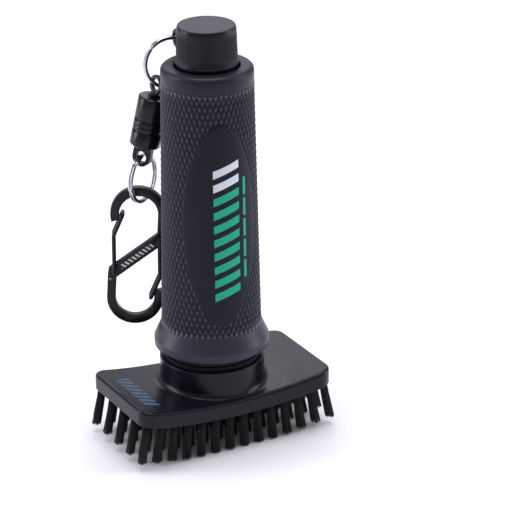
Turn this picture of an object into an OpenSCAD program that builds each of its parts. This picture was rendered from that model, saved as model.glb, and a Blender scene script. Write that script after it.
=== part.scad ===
// Club groove brush. A hollow grip holds water, a push button at its top opens a valve at its foot,
// and a rocker head with bristle tufts screws on below. A split ring, a swivel, a magnetic coupler
// and a double carabiner hang from a lug on the top collar.
// Millimetres, +Z up along the grip. The origin is on the grip's axis in the plane of the bristle tips.
// +X runs along the head and -Y is the head's front.

/* [Head] */
// Length of the head plate
head_len = 82; // [82:1:86]
// Width of the head plate
head_wid = 46; // [46:1:50]
// Thickness of the head plate
plate_t = 6.3; // [6:0.1:7]
// Radius of the plate's rounded corners
corner_r = 6; // [4:0.5:6]
// Radius of the rocker that bends the plate's underside
rocker_r = 225; // [220:5:300]
// Height of the plate's underside above the bristle tips, at the middle
plate_z = 14.6; // [14:0.1:15]
// Radius of the collar that the grip screws into
collar_r = 20; // [19.5:0.1:21]
// Height of the collar's top
collar_top = 32; // [31.5:0.1:32.5]
// Radius of the fillet at the collar's foot
collar_fillet = 2.7; // [2:0.1:3]

/* [Bristles] */
// Radius of one tuft
tuft_r = 1.55; // [1.2:0.05:1.6]
// Tufts in a side row
tufts_side = 14; // [12:2:14]
// Tufts in the middle row, which has one on the centre line
tufts_middle = 15; // [13:2:15]
// Half length of a row of tufts
row_half = 38; // [37:0.1:38]
// Distance between rows
row_pitch = 9.5; // [9:0.05:9.5]
// Half length of the flat part of the bristle face
flat_half = 14.7; // [12:0.1:15]

/* [Grip] */
// Grip radius at the foot of the knurl
grip_foot_r = 19.1; // [18.5:0.1:19.5]
// Grip radius at the top of the knurl
grip_top_r = 17.4; // [17:0.1:17.6]
// Height of the foot of the knurl
knurl_foot_z = 46; // [45:0.5:48]
// Radius of the flared skirt
flare_r = 21.9; // [21:0.1:23]
// Height of the skirt's lower edge
flare_z = 36.8; // [36.5:0.1:37]
// Outer radius of the bottle under the rubber
bottle_r = 15.5; // [15.2:0.1:15.8]
// Half height of the smooth oval panel
panel_half_h = 39; // [30:1:40]
// Half width of the smooth oval panel
panel_half_w = 13.4; // [10:0.1:13.4]
// Direction that the panel faces, in degrees from +X
panel_yaw = -103.5; // [-180:0.5:180]

/* [Button] */
// Height of the button's top face
button_top = 163.5; // [163:0.1:165]
// Radius of the button's lower lip
lip_r = 11.83; // [11.7:0.01:11.9]
// How far the button travels
travel = 4.5; // [3:0.5:4.5]
// Coils in the return spring
spring_turns = 8; // [6:1:9]

/* [Tether] */
// Direction of the tether's plane, in degrees from +X
tether_yaw = -27.6; // [-28:0.1:-27]
// Radius of the upper split ring, at the middle of its wire
upper_ring_r = 9.55; // [9.5:0.01:9.6]
// Radius of the lower split ring, at the middle of its wire
lower_ring_r = 9; // [8.95:0.01:9.05]
// Radius of the magnetic coupler
coupler_r = 5.85; // [5.5:0.05:5.9]
// Length of the carabiner
clip_len = 56; // [55.8:0.1:56.2]
// Thickness of the carabiner's frame
clip_t = 3; // [2.6:0.1:3]
// Radius of the gates' wire
gate_wire_r = 0.7; // [0.6:0.05:0.7]

/* [Hidden] */
$fn = 96;
eps = 0.01;
run_fit = 0.08;

// Head, worked out from the sizes above
rocker_z = plate_z + rocker_r;
block_t = 3.2;
block_inset = 1;
block_corner_r = 3.2;
gallery_size = [26, 14];
gallery_corner_r = 3;
gallery_deep = 1.6;
rocker_tip_r = sqrt(pow(rocker_z, 2) + pow(flat_half, 2));
collar_edge = 0.6;
socket_depth = 2.2;
socket_gap = 0.05;
floor_z = 22.6;
outlet_r = 4;
water_hole_r = 1.2;
water_hole_x = [-8.8, 0, 8.8];
water_hole_y = [-4.8, 4.8];
bore_r = 16.58;
spigot_r = bore_r - run_fit;

// Bottle, grip and valve
reservoir_r = 14;
knurl_top_z = 141.5;
panel_mid_z = 90.3;
panel_deep = 0.8;
panel_gap = 0.05;
spigot_foot_z = 24.8;
neck_r = 17.5;
neck_z = 33.6;
washer_r = 18.3;
washer_gap = 0.05;
plug_top_z = 34;
plug_recess_r = 6;
plug_groove_r = 12.3;
plug_groove_z = [28, 29.9];
plug_seal_r = 13.15;
plug_seal_wire_r = 0.8;
seat_z = 31.5;
seat_r = 3;
seat_gap = 0.15;
stopper_r = 4.8;
stopper_foot_z = 29.2;
rod_foot_z = 28.2;
rod_foot_r = 2.6;
rod_r = 1.5;

// Top collar and button
bottle_top_z = 139.5;
collar_face_z = 148.2;
collar_edge_r = 2;
collar_out_r = grip_top_r - 0.05;
well_r = 12.4;
well_floor_z = 136;
guide_foot_z = 132;
guide_hole_r = 1.9;
seal_floor_z = 134;
bush_r = 3;
bush_foot_z = 135.3;
bush_len = 2.7;
bush_fit = 0.06;
rod_seal_r = 2.22;
rod_seal_wire_r = 0.64;
lip_z = 148.8;
lip_t = 0.8;
cap_z = 161;
cap_face_r = 10.5;
cap_edge_r = 11.05;
cap_edge_drop = 1.1;
side_foot_r = 11.5;
skirt_r = 11.2;
skirt_in_r = 9.6;
skirt_z = well_floor_z + travel + 0.5;
boss_r = 4;
boss_foot_z = 154;
rod_top_z = 158;
coil_r = 6.8;
coil_wire_r = 0.55;
coil_gap = 0.05;

// Tether: x across the tether's plane, y behind it, z up, all before the yaw
wire_w = 1.3;
wire_h = 1.9;
ring_yaw = 22;
lug_at = [-11, 16.1, 153.1];
lug_angle = 69.5;
lug_r = 3.6;
lug_hole_r = 2.2;
lug_t = 1.4;
web_top = [12.8, 147];
web_foot = [16.2, 144.5];
web_angle = 23;
// The lug's outline, across the ring: x outwards from the grip's axis, y up
lug_out = lug_at[1] * cos(ring_yaw) - lug_at[0] * sin(ring_yaw);
lug_side = lug_at[0] * cos(ring_yaw) + lug_at[1] * sin(ring_yaw);
upper_ring_at = [
    lug_at[0] - upper_ring_r * cos(lug_angle) * cos(ring_yaw),
    lug_at[1] - upper_ring_r * cos(lug_angle) * sin(ring_yaw),
    lug_at[2] - upper_ring_r * sin(lug_angle)
];
coupler_at = [-19.92, 13.6, 131.2];
coupler_tilt = 12;
eye_z = 4.9;
eye_r = 3.6;
eye_hole_r = 2.3;
eye_t = 1.4;
eye_yaw = 35;
part_z = -11.3;
part_gap = 0.05;
coupler_len = 19.6;
coupler_edge = 0.4;
groove_z = [-9, -13.4];
groove_w = 0.8;
groove_deep = 0.5;
magnet_r = 4.2;
magnet_t = 3;
swivel_r = 1.3;
swivel_foot_z = -4;
swivel_len = 6;
swivel_head_r = 2.6;
swivel_head_z = -4.6;
swivel_head_t = 1.5;
swivel_chamber_r = 3;
swivel_chamber_h = 9.3;
flange_r = 2.3;
flange_z = 0.25;
flange_t = 1;
stem_w = 3.4;
stem_h = 2;
ear_z = -24.4;
ear_w = 7.5;
ear_t = 2.4;
ear_hole_r = 2.2;
lower_ring_yaw = 60;
lower_ring_at = [-25, 13.6, 98.5];

clip_at = [-28.1, 13.6, 67.2];
clip_tilt = 3.7;
clip_r = 10.8;
clip_bar = 3.4;
loop_z = clip_len / 2 - clip_r;
nose_angle = 19;
spine_w = 4.4;
spine_len = 24;
spine_angle = 39.8;
ear_top_z = -6;
pivot_at = [-8.3, -7.9];
second_hole_at = [-9.8, -10.4];
gate_knee = [-9.15, 8.3];
gate_hook = [-6.0, 17];
gate_gap = 0.15;
gate_y = clip_t / 2 + gate_gap + gate_wire_r;
pivot_gap = 0.05;

ROWS = ["tuft_row_1", "tuft_row_2", "tuft_row_3", "tuft_row_4", "tuft_row_5"];

// ---- Shared shapes ----

// A rectangle with rounded corners, centred
module rounded_rect(size, r) {
    square([size[0] - 2 * r, size[1]], center = true);
    square([size[0], size[1] - 2 * r], center = true);
    for (sx = [-1, 1], sy = [-1, 1])
        translate([sx * (size[0] / 2 - r), sy * (size[1] / 2 - r)])
            circle(r = r);
}

// A plate bent to the rocker, between two radii, cut to an outline
module rocker_plate(r_in, r_out, size, r) {
    intersection() {
        translate([0, 0, rocker_z])
            rotate([90, 0, 0])
                linear_extrude(height = 2 * head_wid, center = true)
                    difference() {
                        circle(r = r_out, $fn = 360);
                        circle(r = r_in, $fn = 360);
                    }
        linear_extrude(height = 40)
            rounded_rect(size, r);
    }
}

// A ring of square section
module tube(r_out, r_in, z0, z1) {
    translate([0, 0, z0])
        difference() {
            cylinder(r = r_out, h = z1 - z0);
            translate([0, 0, -1])
                cylinder(r = r_in, h = z1 - z0 + 2);
        }
}

// The cone that the knurl's crests lie on, moved outwards by grow
module grip_cone(grow) {
    translate([0, 0, knurl_foot_z])
        cylinder(
            r1 = grip_foot_r + grow,
            r2 = grip_top_r + grow,
            h = knurl_top_z - knurl_foot_z
        );
}

// The oval prism that cuts out the smooth panel
module panel_prism(shrink) {
    rotate([0, 0, panel_yaw])
        translate([0, 0, panel_mid_z])
            rotate([90, 0, 90])
                linear_extrude(height = 30)
                    polygon([
                        for (a = [0 : 6 : 354])
                            [(panel_half_w - shrink) * cos(a), (panel_half_h - shrink) * sin(a)]
                    ]);
}

// A ring of flattened wire, lying in the XZ plane
module wire_ring(r) {
    rotate([90, 0, 0])
        rotate_extrude()
            translate([r, 0])
                rounded_rect([wire_w, wire_h], 0.4);
}

module in_tether() {
    rotate([0, 0, tether_yaw])
        children();
}

// The plane of the lug: x outwards, y up, z across the ring
module in_lug() {
    in_tether()
        rotate([0, 0, ring_yaw])
            translate([lug_side, 0, 0])
                rotate([0, 0, 90])
                    rotate([90, 0, 0])
                        children();
}

module in_coupler() {
    in_tether()
        translate(coupler_at)
            rotate([0, coupler_tilt, 0])
                children();
}

module in_clip() {
    in_tether()
        translate(clip_at)
            rotate([0, clip_tilt, 0])
                children();
}

// ---- Head ----

module collar_profile() {
    polygon([
        [0, plate_z + 3],
        [collar_r, plate_z + 3],
        [collar_r, collar_top - collar_edge],
        [collar_r - collar_edge, collar_top],
        [0, collar_top]
    ]);
    foot_z = plate_z + plate_t - 0.2;
    difference() {
        translate([collar_r - 1, foot_z - 2])
            square([collar_fillet + 1, collar_fillet + 2]);
        translate([collar_r + collar_fillet, foot_z + collar_fillet])
            circle(r = collar_fillet);
    }
}

module head_shell() color([0.03, 0.03, 0.04]) {
    difference() {
        union() {
            rocker_plate(rocker_r - plate_t, rocker_r, [head_len, head_wid], corner_r);
            rotate_extrude()
                collar_profile();
        }
        block_space();
        translate([0, 0, plate_z + block_t - 1])
            linear_extrude(height = gallery_deep)
                rounded_rect(gallery_size, gallery_corner_r);
        translate([0, 0, plate_z])
            cylinder(r = outlet_r, h = 20);
        translate([0, 0, floor_z])
            cylinder(r = bore_r, h = 20);
    }
}

module block_space() {
    inset = 2 * block_inset;
    rocker_plate(
        rocker_r - block_t, rocker_r + 1,
        [head_len - inset, head_wid - inset], block_corner_r
    );
}

module bristle_block() color([0.04, 0.04, 0.05]) {
    inset = 2 * block_inset;
    difference() {
        rocker_plate(
            rocker_r - block_t, rocker_r,
            [head_len - inset, head_wid - inset], block_corner_r
        );
        for (i = [1 : 5])
            tuft_places(i)
                translate([0, 0, -rocker_r - 1])
                    cylinder(r = tuft_r + socket_gap, h = socket_depth + 1);
        for (x = water_hole_x, y = water_hole_y)
            translate([x, y, plate_z - 2])
                cylinder(r = water_hole_r, h = 10);
    }
}

function row_count(i) = i == 3 ? tufts_middle : tufts_side;

// Puts its child on the rocker's centre line once for each tuft of row i, turned to that tuft
module tuft_places(i) {
    n = row_count(i);
    for (k = [0 : n - 1]) {
        x = -row_half + 2 * row_half * k / (n - 1);
        translate([0, (i - 3) * row_pitch, rocker_z])
            rotate([0, -asin(x / rocker_r), 0])
                children();
    }
}

module tuft_row(i) color([0.05, 0.05, 0.06]) {
    reach = rocker_tip_r - rocker_r + socket_depth;
    difference() {
        tuft_places(i)
            translate([0, 0, -rocker_tip_r])
                cylinder(r = tuft_r, h = reach);
        translate([-head_len, -head_wid, -10])
            cube([2 * head_len, 2 * head_wid, 10]);
    }
}

module neck_washer() color([0.06, 0.06, 0.06]) {
    tube(washer_r, spigot_r + run_fit, collar_top + washer_gap, neck_z - washer_gap);
}

// ---- Grip ----

module bottle_shell() color([0.10, 0.10, 0.11]) {
    difference() {
        union() {
            translate([0, 0, spigot_foot_z])
                cylinder(r = spigot_r, h = neck_z - spigot_foot_z);
            translate([0, 0, neck_z])
                cylinder(r = neck_r, h = flare_z - neck_z);
            translate([0, 0, flare_z])
                cylinder(r = bottle_r, h = bottle_top_z - flare_z);
        }
        translate([0, 0, spigot_foot_z - 1])
            cylinder(r = reservoir_r, h = bottle_top_z);
    }
}

module sleeve_profile() {
    polygon([
        [bottle_r, flare_z],
        [flare_r - 0.4, flare_z],
        [flare_r, flare_z + 0.5],
        [flare_r, flare_z + 3.1],
        [grip_foot_r, knurl_foot_z],
        [grip_top_r, knurl_top_z],
        [bottle_r, knurl_top_z]
    ]);
}

module grip_sleeve() color([0.05, 0.05, 0.06]) {
    difference() {
        rotate_extrude()
            sleeve_profile();
        intersection() {
            panel_prism(0);
            difference() {
                grip_cone(2);
                grip_cone(-panel_deep);
            }
        }
    }
}

module label_panel() color([0.06, 0.06, 0.07]) {
    intersection() {
        panel_prism(0);
        difference() {
            grip_cone(-panel_gap);
            grip_cone(-panel_deep);
        }
    }
}

module valve_plug() color([0.7, 0.7, 0.7]) {
    difference() {
        translate([0, 0, spigot_foot_z])
            cylinder(r = reservoir_r, h = plug_top_z - spigot_foot_z);
        translate([0, 0, spigot_foot_z - 1])
            cylinder(r = plug_recess_r, h = seat_z - spigot_foot_z + 1);
        translate([0, 0, spigot_foot_z])
            cylinder(r = seat_r, h = 20);
        tube(reservoir_r + 1, plug_groove_r, plug_groove_z[0], plug_groove_z[1]);
    }
}

module plug_seal() color([0.5, 0.1, 0.1]) {
    translate([0, 0, (plug_groove_z[0] + plug_groove_z[1]) / 2])
        rotate_extrude()
            translate([plug_seal_r, 0])
                circle(r = plug_seal_wire_r, $fn = 24);
}

module top_collar() color([0.07, 0.07, 0.08]) {
    difference() {
        union() {
            rotate_extrude() {
                edge = collar_out_r - collar_edge_r;
                translate([0, guide_foot_z])
                    square([reservoir_r, collar_face_z - guide_foot_z]);
                translate([0, bottle_top_z])
                    square([bottle_r, 4]);
                translate([0, knurl_top_z])
                    square([collar_out_r, collar_face_z - collar_edge_r - knurl_top_z]);
                translate([0, knurl_top_z])
                    square([edge, collar_face_z - knurl_top_z]);
                translate([edge, collar_face_z - collar_edge_r])
                    circle(r = collar_edge_r);
            }
            in_lug()
                linear_extrude(height = lug_t, center = true) {
                    translate([lug_out, lug_at[2]])
                        circle(r = lug_r);
                    polygon([
                        web_top,
                        [lug_out - lug_r * cos(web_angle), lug_at[2] + lug_r * sin(web_angle)],
                        [lug_out + lug_r * sin(web_angle), lug_at[2] - lug_r * cos(web_angle)],
                        web_foot
                    ]);
                }
        }
        translate([0, 0, well_floor_z])
            cylinder(r = well_r, h = 20);
        translate([0, 0, guide_foot_z - 1])
            cylinder(r = guide_hole_r, h = 10);
        translate([0, 0, seal_floor_z])
            cylinder(r = bush_r, h = 10);
        in_lug()
            translate([lug_out, lug_at[2]])
                cylinder(r = lug_hole_r, h = 6, center = true);
    }
}

module guide_bush() color([0.8, 0.75, 0.6]) {
    tube(bush_r, rod_r + bush_fit, bush_foot_z, bush_foot_z + bush_len);
}

module rod_seal() color([0.5, 0.1, 0.1]) {
    translate([0, 0, bush_foot_z - rod_seal_wire_r - eps])
        rotate_extrude()
            translate([rod_seal_r, 0])
                circle(r = rod_seal_wire_r, $fn = 24);
}

// ---- Button ----

module push_button() color([0.12, 0.12, 0.13]) {
    rotate_extrude()
        polygon([
            [0, button_top],
            [cap_face_r, button_top],
            [cap_edge_r, button_top - cap_edge_drop],
            [side_foot_r, lip_z + lip_t + 0.2],
            [lip_r, lip_z + lip_t],
            [lip_r, lip_z],
            [skirt_r, lip_z],
            [skirt_r, skirt_z],
            [skirt_in_r, skirt_z],
            [skirt_in_r, cap_z],
            [boss_r, cap_z],
            [boss_r, boss_foot_z],
            [rod_r, boss_foot_z],
            [rod_r, rod_top_z],
            [0, rod_top_z]
        ]);
}

module plunger_rod() color([0.75, 0.75, 0.78]) {
    translate([0, 0, rod_foot_z])
        cylinder(r = rod_r, h = rod_top_z - rod_foot_z);
    translate([0, 0, rod_foot_z])
        cylinder(r = rod_foot_r, h = stopper_foot_z - rod_foot_z);
}

module valve_stopper() color([0.15, 0.05, 0.05]) {
    tube(stopper_r, rod_r, stopper_foot_z, seat_z - seat_gap);
}

// Points of a ring of the coil's wire at angle a
function coil_ring(a, z, ring_r, wire_r, sides) = [
    for (s = [0 : sides - 1])
        let (b = 360 * s / sides, r = ring_r + wire_r * cos(b))
            [r * cos(a), r * sin(a), z + wire_r * sin(b)]
];

module coil(ring_r, wire_r, z0, z1, turns) {
    sides = 8;
    steps = 20 * turns;
    rings = [
        for (i = [0 : steps])
            coil_ring(360 * turns * i / steps, z0 + (z1 - z0) * i / steps, ring_r, wire_r, sides)
    ];
    points = [for (ring = rings) for (p = ring) p];
    sides_faces = [
        for (i = [0 : steps - 1], s = [0 : sides - 1])
            let (t = (s + 1) % sides)
                [i * sides + s, i * sides + t, (i + 1) * sides + t, (i + 1) * sides + s]
    ];
    first = [for (s = [sides - 1 : -1 : 0]) s];
    last = [for (s = [0 : sides - 1]) steps * sides + s];
    polyhedron(points = points, faces = concat(sides_faces, [first, last]), convexity = 10);
}

module return_spring() color([0.8, 0.8, 0.82]) {
    rest = coil_wire_r + coil_gap;
    coil(coil_r, coil_wire_r, well_floor_z + rest, cap_z - rest, spring_turns);
}

// ---- Tether ----

module upper_split_ring() color([0.8, 0.8, 0.82]) {
    in_tether()
        translate(upper_ring_at)
            rotate([0, 0, ring_yaw])
                wire_ring(upper_ring_r);
}

module swivel_eye() color([0.2, 0.2, 0.22]) {
    in_coupler() {
        translate([0, 0, swivel_foot_z])
            cylinder(r = swivel_r, h = swivel_len);
        translate([0, 0, swivel_head_z])
            cylinder(r = swivel_head_r, h = swivel_head_t);
        translate([0, 0, flange_z])
            cylinder(r = flange_r, h = flange_t);
        rotate([0, 0, eye_yaw])
            difference() {
                union() {
                    translate([0, 0, eye_z])
                        rotate([0, 90, 0])
                            cylinder(r = eye_r, h = eye_t, center = true);
                    translate([-eye_t / 2, -stem_w / 2, 1])
                        cube([eye_t, stem_w, stem_h]);
                }
                translate([0, 0, eye_z])
                    rotate([0, 90, 0])
                        cylinder(r = eye_hole_r, h = 6, center = true);
            }
    }
}

module coupler_groove(z) {
    tube(coupler_r + 1, coupler_r - groove_deep, z - groove_w / 2, z + groove_w / 2);
}

module coupler_upper_shell() color([0.04, 0.04, 0.05]) {
    in_coupler()
        difference() {
            rotate_extrude()
                polygon([
                    [0, part_z + part_gap],
                    [coupler_r, part_z + part_gap],
                    [coupler_r, -coupler_edge],
                    [coupler_r - coupler_edge, 0],
                    [0, 0]
                ]);
            coupler_groove(groove_z[0]);
            translate([0, 0, part_z - 1])
                cylinder(r = magnet_r, h = magnet_t + 1.1);
            translate([0, 0, part_z])
                cylinder(r = swivel_chamber_r, h = swivel_chamber_h);
            translate([0, 0, -5])
                cylinder(r = swivel_r + run_fit, h = 10);
        }
}

module upper_magnet() color([0.85, 0.85, 0.86]) {
    in_coupler()
        translate([0, 0, part_z + part_gap])
            cylinder(r = magnet_r, h = magnet_t);
}

module coupler_lower_shell() color([0.04, 0.04, 0.05]) {
    in_coupler()
        difference() {
            union() {
                rotate_extrude()
                    polygon([
                        [0, -coupler_len],
                        [coupler_r - coupler_edge, -coupler_len],
                        [coupler_r, -coupler_len + coupler_edge],
                        [coupler_r, part_z - part_gap],
                        [0, part_z - part_gap]
                    ]);
                rotate([0, 0, lower_ring_yaw])
                    rotate([0, 90, 0])
                        linear_extrude(height = ear_t, center = true) {
                            translate([-ear_z, 0])
                                circle(r = ear_w / 2);
                            translate([coupler_len - 1, -ear_w / 2])
                                square([-ear_z - coupler_len + 1, ear_w]);
                        }
            }
            coupler_groove(groove_z[1]);
            translate([0, 0, part_z - magnet_t])
                cylinder(r = magnet_r, h = magnet_t + 1);
            translate([0, 0, ear_z])
                rotate([0, 0, lower_ring_yaw])
                    rotate([0, 90, 0])
                        cylinder(r = ear_hole_r, h = 6, center = true);
        }
}

module lower_magnet() color([0.85, 0.85, 0.86]) {
    in_coupler()
        translate([0, 0, part_z - magnet_t])
            cylinder(r = magnet_r, h = magnet_t - part_gap);
}

module lower_split_ring() color([0.8, 0.8, 0.82]) {
    in_tether()
        translate(lower_ring_at)
            rotate([0, 0, lower_ring_yaw])
                wire_ring(lower_ring_r);
}

// Half of the carabiner's outline: the lower loop, its left side and half of the slanting spine
module clip_half() {
    translate([0, -loop_z])
        difference() {
            circle(r = clip_r);
            circle(r = clip_r - clip_bar);
            polygon([
                [0, 0],
                [3 * clip_r * cos(nose_angle), 3 * clip_r * sin(nose_angle)],
                [0, 3 * clip_r],
                [-3 * clip_r, 3 * clip_r],
                [-3 * clip_r, 0]
            ]);
        }
    translate([-clip_r, -loop_z - eps])
        square([clip_bar, loop_z + ear_top_z - clip_bar / 2 + eps]);
    translate([-clip_r + clip_bar / 2, ear_top_z - clip_bar / 2])
        circle(r = clip_bar / 2);
    rotate(spine_angle)
        square([spine_len, spine_w], center = true);
}

module carabiner_frame() color([0.03, 0.03, 0.04]) {
    in_clip()
        rotate([90, 0, 0])
            difference() {
                linear_extrude(height = clip_t, center = true) {
                    clip_half();
                    rotate(180)
                        clip_half();
                }
                for (turn = [0, 180])
                    rotate(turn) {
                        translate(pivot_at)
                            cylinder(r = gate_wire_r + pivot_gap, h = 10, center = true);
                        translate(second_hole_at)
                            cylinder(r = gate_wire_r, h = 10, center = true);
                    }
            }
}

// A straight length of wire between two points of the XZ plane
module wire_between(a, b) {
    run = [b[0] - a[0], b[1] - a[1]];
    translate([a[0], 0, a[1]])
        rotate([0, atan2(run[0], run[1]), 0])
            cylinder(r = gate_wire_r, h = norm(run));
}

module wire_joint(p) {
    translate([p[0], 0, p[1]])
        sphere(r = gate_wire_r + 0.05, $fn = 48);
}

// A gate of bent wire: two legs that straddle the frame, a cross piece that hooks behind the nose,
// and a short pin on each leg
module gate() {
    for (side = [-1, 1])
        translate([0, side * gate_y, 0]) {
            wire_between(pivot_at, gate_knee);
            wire_between(gate_knee, gate_hook);
            wire_joint(pivot_at);
            wire_joint(gate_knee);
            wire_joint(gate_hook);
            translate([pivot_at[0], 0, pivot_at[1]])
                rotate([90 * side, 0, 0])
                    cylinder(r = gate_wire_r, h = gate_y - 0.3);
        }
    translate([gate_hook[0], 0, gate_hook[1]])
        rotate([90, 0, 0])
            cylinder(r = gate_wire_r, h = 2 * gate_y, center = true);
}

module upper_gate() color([0.05, 0.05, 0.06]) {
    in_clip()
        gate();
}

module lower_gate() color([0.05, 0.05, 0.06]) {
    in_clip()
        rotate([0, 180, 0])
            gate();
}

head_shell();
bristle_block();
for (i = [1 : 5])
    tuft_row(i);
neck_washer();
bottle_shell();
grip_sleeve();
label_panel();
top_collar();
valve_plug();
plug_seal();
guide_bush();
rod_seal();
push_button();
plunger_rod();
valve_stopper();
return_spring();
upper_split_ring();
swivel_eye();
coupler_upper_shell();
upper_magnet();
coupler_lower_shell();
lower_magnet();
lower_split_ring();
carabiner_frame();
upper_gate();
lower_gate();
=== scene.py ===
"""Club groove brush: the looks of a water-holding brush that cleans the grooves of a golf club.

Lengths in the formulas are in millimetres, and the meshes are in metres. +Z runs up along the grip,
+X along the head, and -Y is the head's front. The origin is in the plane of the bristle tips.
"""
import math

import bmesh
import bpy
import numpy as np
from bpy.props import FloatProperty, FloatVectorProperty, IntProperty, PointerProperty
from mathutils import Matrix, Vector


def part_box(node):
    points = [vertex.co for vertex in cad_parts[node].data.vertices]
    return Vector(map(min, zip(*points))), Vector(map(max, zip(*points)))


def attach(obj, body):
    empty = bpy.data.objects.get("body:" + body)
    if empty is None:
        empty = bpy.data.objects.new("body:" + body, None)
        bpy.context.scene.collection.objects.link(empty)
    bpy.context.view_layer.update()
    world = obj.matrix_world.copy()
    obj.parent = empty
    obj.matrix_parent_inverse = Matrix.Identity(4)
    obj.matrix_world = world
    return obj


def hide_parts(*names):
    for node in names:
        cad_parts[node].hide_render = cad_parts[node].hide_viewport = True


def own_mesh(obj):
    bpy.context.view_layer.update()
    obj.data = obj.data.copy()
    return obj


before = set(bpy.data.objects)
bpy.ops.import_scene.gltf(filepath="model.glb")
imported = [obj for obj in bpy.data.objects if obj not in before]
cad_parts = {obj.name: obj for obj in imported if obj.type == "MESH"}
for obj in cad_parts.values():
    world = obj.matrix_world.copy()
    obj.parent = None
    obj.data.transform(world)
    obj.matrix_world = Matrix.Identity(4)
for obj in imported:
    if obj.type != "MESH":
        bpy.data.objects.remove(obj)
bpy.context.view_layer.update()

MM = 0.001

bl_info = {
    "name": "Club groove brush",
    "version": (1, 0, 0),
    "blender": (4, 5, 0),
    "location": "View3D > Sidebar > Groove Brush",
    "description": "Builds a golf club groove brush with a knurled grip and a carabiner tether",
    "category": "Add Mesh",
}


# ---------------------------------------------------------------- places and sizes

def span(node):
    """Lowest and highest corner of a CAD node, in millimetres."""
    low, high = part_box(node)
    return np.array(low) / MM, np.array(high) / MM


HEAD_LOW, HEAD_HIGH = span("head_shell")
SLEEVE_LOW, SLEEVE_HIGH = span("grip_sleeve")
COLLAR_HIGH = span("top_collar")[1]
CAP_HIGH = span("push_button")[1]
HEAD_HALF = (HEAD_HIGH[0], HEAD_HIGH[1])
COLLAR_TOP = HEAD_HIGH[2]
FLARE_Z = SLEEVE_LOW[2]
FLARE_R = SLEEVE_HIGH[0]
KNURL_TOP = SLEEVE_HIGH[2]
# Sizes of the design, in millimetres. PANEL_YAW, TETHER_YAW and BEVEL_FROM are in radians, and the other
# angles are in degrees.
KNURL_FOOT = 46.0
GRIP_FOOT_R = 19.1
GRIP_TOP_R = 17.4
ROCKER_R = 225.0
ROCKER_Z = HEAD_LOW[2] + ROCKER_R
PLATE_T = 6.3
BLOCK_T = 3.2
BLOCK_INSET = 1.0
BLOCK_CORNER_R = 3.2
CORNER_R = 6.0
COLLAR_R = 20.0
COLLAR_FILLET = 2.1
BORE_R = 16.58
BORE_FLOOR = 22.6
PANEL_YAW = math.radians(-103.5)
PANEL_MID = (51.3 + 129.3) / 2
PANEL_HALF = (13.4, 39.0)
TETHER_YAW = math.radians(-27.6)
CLIP_AT = (-28.1, 13.6, 67.2)
CLIP_TILT = 3.7
SPINE_ANGLE = 39.8
BEVEL_FROM = math.radians(30)
TUFTS_IN_ROW = (14, 14, 15, 14, 14)
ROW_HALF = 38.0
FLAT_HALF = 14.7
SLEEVE_BORE_R = 15.6
FLARE_TOP = 39.9
COLLAR_STEP = 141.55
LUG_AT = (-11.0, 16.1, 153.1)
LUG_YAW = 22
CAP_LIP = 148.8
SPRING_WIRE_R = 0.55
SPRING_TURNS = 8
UPPER_RING_AT = (-14.101, 14.847, 144.155)
LOWER_RING_AT = (-25.0, 13.6, 98.5)
MARK_REACH = 33.0
PRINT_FOOT = 62.0
GREEN_TOP = 105.2
WHITE_TOP = 115.8
RULE_FOOT = 69.0
RULE_TOP = 110.0


# ---------------------------------------------------------------- settings

class HeadSettings(bpy.types.PropertyGroup):
    """The head plate and its bristles."""
    edge: FloatProperty(
        name="Edge", description="Radius of the plate's top edge", default=1.3 * MM, unit="LENGTH"
    )
    filaments: IntProperty(name="Filaments", description="Filaments in one tuft", default=64, min=7)
    filament: FloatProperty(
        name="Filament", description="Radius of one filament", default=0.17 * MM, unit="LENGTH"
    )
    gloss: FloatVectorProperty(
        name="Plastic", description="Colour of the plate", default=(0.0045, 0.0048, 0.0085), subtype="COLOR"
    )


class GripSettings(bpy.types.PropertyGroup):
    """The rubber grip and its oval panel."""
    diamonds: IntProperty(name="Diamonds", description="Diamonds round the grip", default=55, min=8)
    rows: IntProperty(name="Rows", description="Rows of diamonds up the grip", default=19, min=4)
    relief: FloatProperty(name="Relief", description="Depth of the knurl", default=0.75 * MM, unit="LENGTH")
    rubber: FloatVectorProperty(
        name="Rubber", description="Colour of the rubber", default=(0.0115, 0.0118, 0.0185), subtype="COLOR"
    )
    green: FloatVectorProperty(
        name="Green", description="Colour of the green bars", default=(0.02, 0.42, 0.24), subtype="COLOR"
    )
    white: FloatVectorProperty(
        name="White", description="Colour of the white bars", default=(0.72, 0.76, 0.84), subtype="COLOR"
    )


class ButtonSettings(bpy.types.PropertyGroup):
    """The push button on top of the grip."""
    ribs: IntProperty(name="Ribs", description="Ribs round the cap", default=128, min=12)
    rib: FloatProperty(name="Rib", description="Depth of a rib", default=0.13 * MM, unit="LENGTH")


class TetherSettings(bpy.types.PropertyGroup):
    """The split rings, the coupler and the carabiner."""
    chrome: FloatVectorProperty(
        name="Chrome", description="Colour of the split rings", default=(0.62, 0.62, 0.64), subtype="COLOR"
    )
    anodised: FloatVectorProperty(
        name="Anodised", description="Colour of the coupler and the carabiner", default=(0.004, 0.004, 0.006),
        subtype="COLOR",
    )
    chamfer: FloatProperty(
        name="Chamfer", description="Width of the frame's chamfer", default=0.45 * MM, unit="LENGTH"
    )


class StageSettings(bpy.types.PropertyGroup):
    """The floor, the lights and the camera."""
    azimuth: FloatProperty(
        name="Azimuth", description="Camera's turn about +Z", default=math.radians(-27.62), unit="ROTATION"
    )
    height: FloatProperty(
        name="Elevation", description="Camera's height angle", default=math.radians(21.45), unit="ROTATION"
    )
    roll: FloatProperty(
        name="Roll", description="Camera's roll", default=math.radians(-1.01), unit="ROTATION"
    )
    distance: FloatProperty(name="Distance", description="Camera's distance", default=1.0526, unit="LENGTH")
    lens: FloatProperty(name="Lens", description="Focal length in millimetres", default=197.6)


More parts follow.
